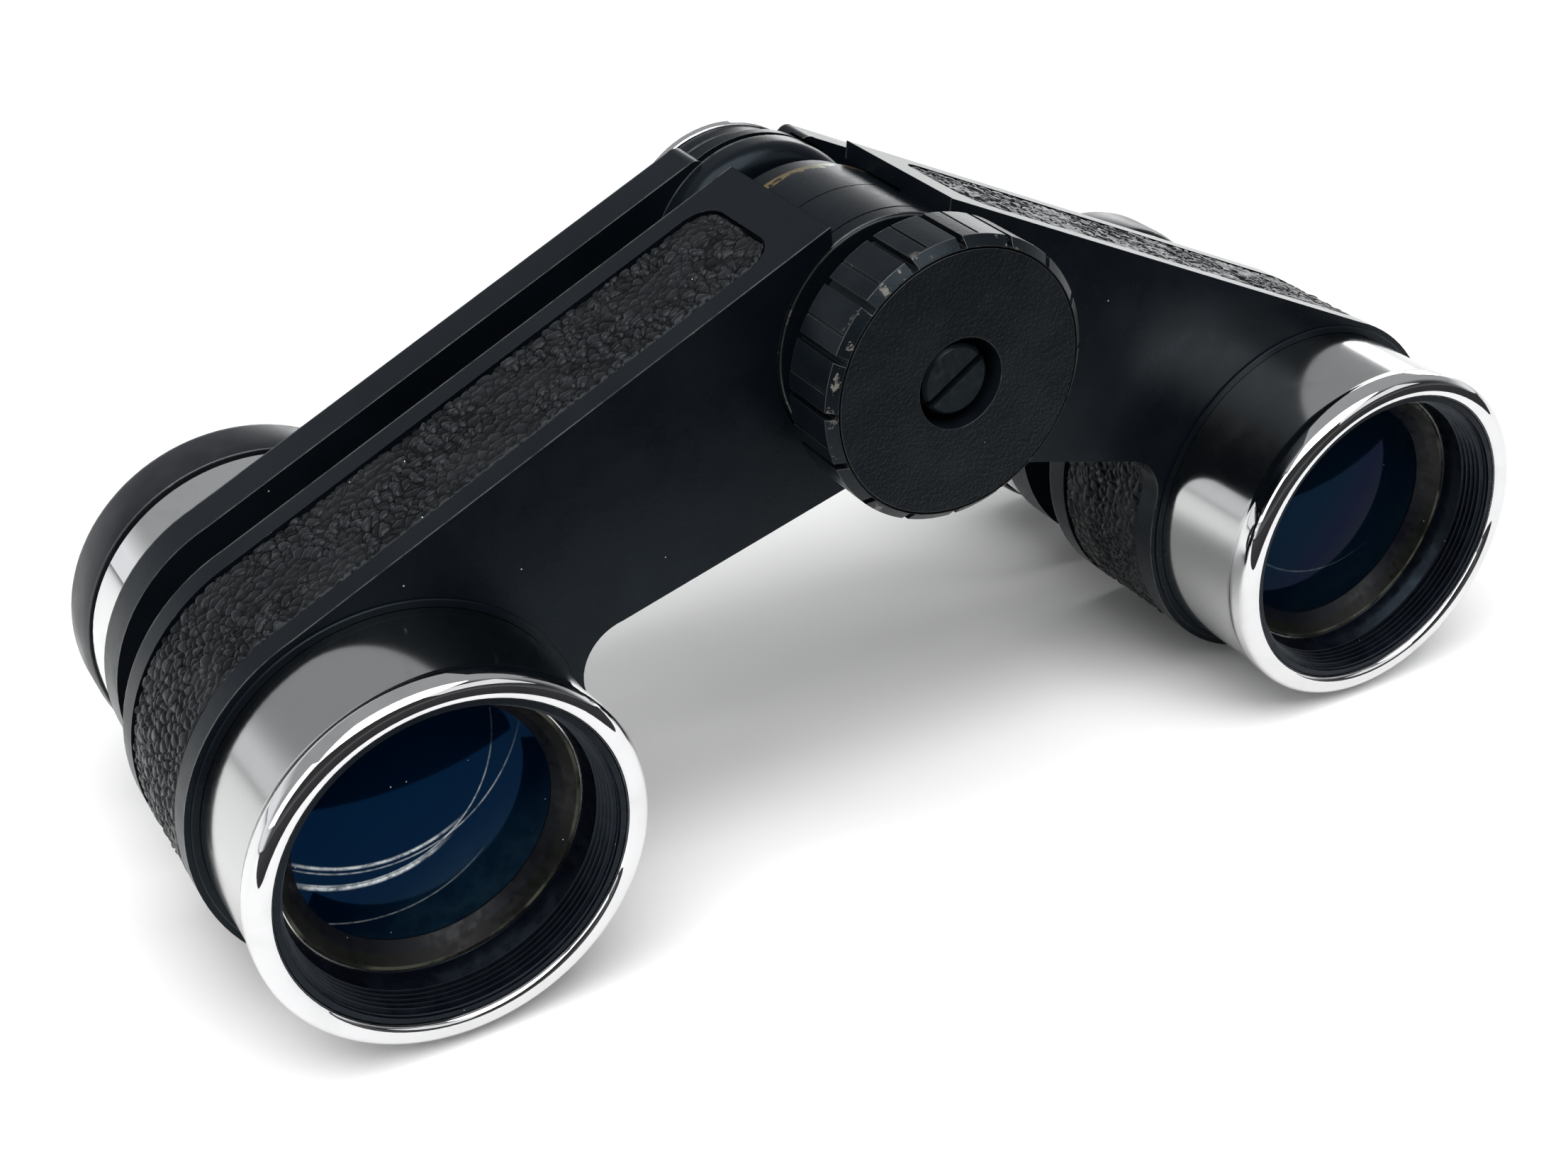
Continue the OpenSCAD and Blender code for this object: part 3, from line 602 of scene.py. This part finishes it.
def pebbles(x, y, size, seed):
    """Height of rounded, unequal cells: 0 in the creases, up to 1 on top."""
    rng = np.random.RandomState(seed)
    gx, gy = x / size + 4, y / size + 4
    ix, iy = np.floor(gx).astype(int), np.floor(gy).astype(int)
    shape = (ix.max() + 4, iy.max() + 4)
    jx, jy, lift = rng.rand(*shape), rng.rand(*shape), 0.45 + 0.55 * rng.rand(*shape)
    first = np.full(x.shape, 9.0)
    second = np.full(x.shape, 9.0)
    top = np.ones(x.shape)
    for dx in (-2, -1, 0, 1, 2):
        for dy in (-2, -1, 0, 1, 2):
            cx, cy = ix + dx, iy + dy
            d = np.hypot(cx + jx[cx, cy] - gx, cy + jy[cx, cy] - gy)
            closer = d < first
            second = np.where(closer, first, np.minimum(second, d))
            top = np.where(closer, lift[cx, cy], top)
            first = np.where(closer, d, first)
    wall = np.clip((second - first) / 0.32, 0, 1)
    dome = np.clip(1 - 0.6 * first ** 2, 0, 1)
    return (1 - (1 - wall) ** 2) * dome * top


def leather_height(x, y, seed):
    """Rounded pebbles of unequal size, in patches of deeper and shallower grain."""
    warp_x = (lattice_noise(x, y, 0.9, seed) - 0.5) * 0.5
    warp_y = (lattice_noise(x, y, 0.9, seed + 2) - 0.5) * 0.5
    grain = pebbles(x + warp_x, y + warp_y, 0.62, seed + 4)
    patch = np.clip((lattice_noise(x, y, 2.4, seed + 6) - 0.3) / 0.35, 0, 1)
    grain = 0.62 + (grain - 0.62) * (0.45 + 0.55 * patch)
    grain = grain + (lattice_noise(x, y, 0.33, seed + 5) - 0.5) * 0.16
    grain = grain + (lattice_noise(x, y, 1.6, seed + 8) - 0.5) * 0.15
    return np.clip(grain, 0, 1)


def leather_skin(side, material, seed):
    step = 0.1
    path, out = strip_path(step)
    run = np.concatenate([[0], np.cumsum(np.linalg.norm(np.diff(path, axis=0), axis=1))])
    lo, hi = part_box(f"{side}_leatherette")
    s0, s1 = lo.y / MM - RIM_Y + 0.02, hi.y / MM - RIM_Y - 0.02
    half = (s1 - s0) / 2
    trim = np.clip(CORNER - run, 0, CORNER)
    width = half - (CORNER - np.sqrt(np.clip(CORNER ** 2 - trim ** 2, 0, None)))
    across = np.linspace(-1, 1, round(2 * half / step) + 1)
    t = np.repeat(run[:, None], len(across), axis=1)
    w = np.repeat(width[:, None], len(across), axis=1)
    offset = w * across[None, :]
    s = (s0 + s1) / 2 + offset
    grain = leather_height(t, s, seed)
    to_edge = np.minimum.reduce([w - np.abs(offset), t, run[-1] - t])
    ragged = (lattice_noise(t, s, 0.5, seed + 9) - 0.35) * 0.16
    lip = np.clip((to_edge - np.clip(ragged, 0, 1)) / 0.26, 0, 1)
    lip = lip * lip * (3 - 2 * lip)
    surface = LEATHER_TOP - LEATHER_RELIEF * (1 - grain) - 0.01
    height = LEATHER_SINK + (surface - LEATHER_SINK) * lip
    u = path[:, 0][:, None] + out[:, 0][:, None] * height
    v = path[:, 1][:, None] + out[:, 1][:, None] * height
    verts = place(side, u, v, s).reshape(-1, 3)
    rows, cols = t.shape
    index = np.arange(rows * cols).reshape(rows, cols)
    corners = [index[:-1, :-1], index[1:, :-1], index[1:, 1:], index[:-1, 1:]]
    quads = np.stack(corners, axis=-1).reshape(-1, 4)
    if side == "left":
        quads = quads[:, ::-1]
    mesh = bpy.data.meshes.new(f"{side}_leather_skin")
    mesh.from_pydata(verts.tolist(), [], quads.tolist())
    mesh.polygons.foreach_set("use_smooth", np.ones(len(quads), bool))
    # The grain height, fading to 0 at the sunk strip edges, drives the material's painted crease shade.
    shade = mesh.attributes.new("grain", "FLOAT", "POINT")
    shade.data.foreach_set("value", (grain * lip).reshape(-1).astype(np.float32))
    mesh.materials.append(material)
    obj = bpy.data.objects.new(f"{side}_leather_skin", mesh)
    bpy.context.scene.collection.objects.link(obj)
    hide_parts(f"{side}_leatherette")
    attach(obj, f"{side}_half")
    return obj


LEATHER = leather("leatherette_pebbled")
leather_skin("left", LEATHER, 11)
leather_skin("right", LEATHER, 47)

# ---- Floor, light, camera ----
def flat_sheet(name, x0, x1, y0, y1, height=0.0):
    """A level rectangle, in metres."""
    mesh = bpy.data.meshes.new(name)
    corners = [(x0, y0, height), (x1, y0, height), (x1, y1, height), (x0, y1, height)]
    mesh.from_pydata(corners, [], [(0, 1, 2, 3)])
    sheet = bpy.data.objects.new(name, mesh)
    bpy.context.scene.collection.objects.link(sheet)
    return sheet


floor = flat_sheet("floor", -3, 3, -3, 3)
paper = Paint("floor_paper", (0.86, 0.86, 0.855), 0.65, specular=0.2)
paper.set("Base Color", paper.mix(paper.noise(60, detail=3), (0.845, 0.845, 0.84), (0.875, 0.875, 0.87)))
floor.data.materials.append(paper.mat)

world = bpy.data.worlds.new("studio")
bpy.context.scene.world = world
world.use_nodes = True
tree = world.node_tree
tree.nodes.clear()
background = tree.nodes.new("ShaderNodeBackground")
tree.links.new(background.outputs[0], tree.nodes.new("ShaderNodeOutputWorld").inputs["Surface"])
direction = tree.nodes.new("ShaderNodeTexCoord")
split = tree.nodes.new("ShaderNodeSeparateXYZ")
tree.links.new(direction.outputs["Generated"], split.inputs[0])


def world_range(value, lo, hi, out_lo, out_hi):
    n = tree.nodes.new("ShaderNodeMapRange")
    n.interpolation_type = "SMOOTHSTEP"
    tree.links.new(value, n.inputs["Value"])
    for key, number in (("From Min", lo), ("From Max", hi), ("To Min", out_lo), ("To Max", out_hi)):
        n.inputs[key].default_value = number
    return n.outputs["Result"]


def world_math(op, a, b):
    n = tree.nodes.new("ShaderNodeMath")
    n.operation = op
    tree.links.new(a, n.inputs[0])
    tree.links.new(b, n.inputs[1])
    return n.outputs[0]


low_glow = world_range(split.outputs[2], 0.06, 0.30, 1.15, 0.42)
front = world_range(split.outputs[1], -0.05, -0.45, 1.0, 0.10)
level = world_math("MULTIPLY", low_glow, front)
tint = tree.nodes.new("ShaderNodeMix")
tint.data_type = "RGBA"
tint.inputs["A"].default_value = (0, 0, 0, 1)
tint.inputs["B"].default_value = (0.97, 0.985, 1.0, 1)
tree.links.new(level, tint.inputs["Factor"])
tree.links.new(tint.outputs["Result"], background.inputs["Color"])
background.inputs["Strength"].default_value = 1.0


def softbox(name, location, target, size, radiance):
    data = bpy.data.lights.new(name, "AREA")
    data.shape = "RECTANGLE"
    data.size, data.size_y = size
    data.energy = radiance * math.pi * size[0] * size[1]
    lamp = bpy.data.objects.new(name, data)
    lamp.location = location
    lamp.rotation_mode = "QUATERNION"
    lamp.rotation_quaternion = (Vector(target) - Vector(location)).to_track_quat("-Z", "Y")
    bpy.context.scene.collection.objects.link(lamp)
    return lamp


softbox("overhead", (-0.10, -0.20, 0.62), (0, 0, 0.01), (0.8, 0.6), 4.6)
softbox("left_window", (-0.75, -0.10, 0.40), (0, 0, 0.01), (0.5, 0.5), 2.2)
softbox("front_fill", (0.40, -0.55, 0.50), (0, 0, 0.01), (0.6, 0.4), 1.0)
softbox("back_window", (0.62, 0.72, 0.10), (0.02, 0, 0.03), (0.8, 0.3), 3.0).visible_diffuse = False

# A black card on the floor in front, seen only in reflections, as a studio uses to darken glossy faces
CARD_EDGE = -0.046
card = flat_sheet("black_card", -1.5, 1.5, -1.8, CARD_EDGE, 0.0002)
card.data.materials.append(Paint("card_black", (0.02, 0.02, 0.022), 0.9, specular=0.1).mat)
card.visible_camera = False
card.visible_diffuse = False
card.visible_shadow = False
card.visible_transmission = False

# The camera looks along the photographed direction, from above the left half (metres and degrees)
CAMERA_PLACE = (-0.063379, -0.106712, 0.084922)
CAMERA_FORWARD = (0.42489959, 0.74310541, -0.51696682)
CAMERA_ROLL = -1.212
camera_data = bpy.data.cameras.new("camera")
camera_data.sensor_width = 36
camera_data.lens = 51.35
camera_data.clip_start = 0.005
camera_data.clip_end = 20
camera = bpy.data.objects.new("camera", camera_data)
forward = Vector(CAMERA_FORWARD).normalized()
side_on = forward.cross(Vector((0, 0, 1))).normalized()
upward = side_on.cross(forward)
roll = math.radians(CAMERA_ROLL)
right = side_on * math.cos(roll) + upward * math.sin(roll)
up = upward * math.cos(roll) - side_on * math.sin(roll)
pose = Matrix((right, up, -forward)).transposed().to_4x4()
pose.translation = Vector(CAMERA_PLACE)
camera.matrix_world = pose
bpy.context.scene.collection.objects.link(camera)
bpy.context.scene.camera = camera
bpy.context.scene.view_settings.view_transform = "Standard"
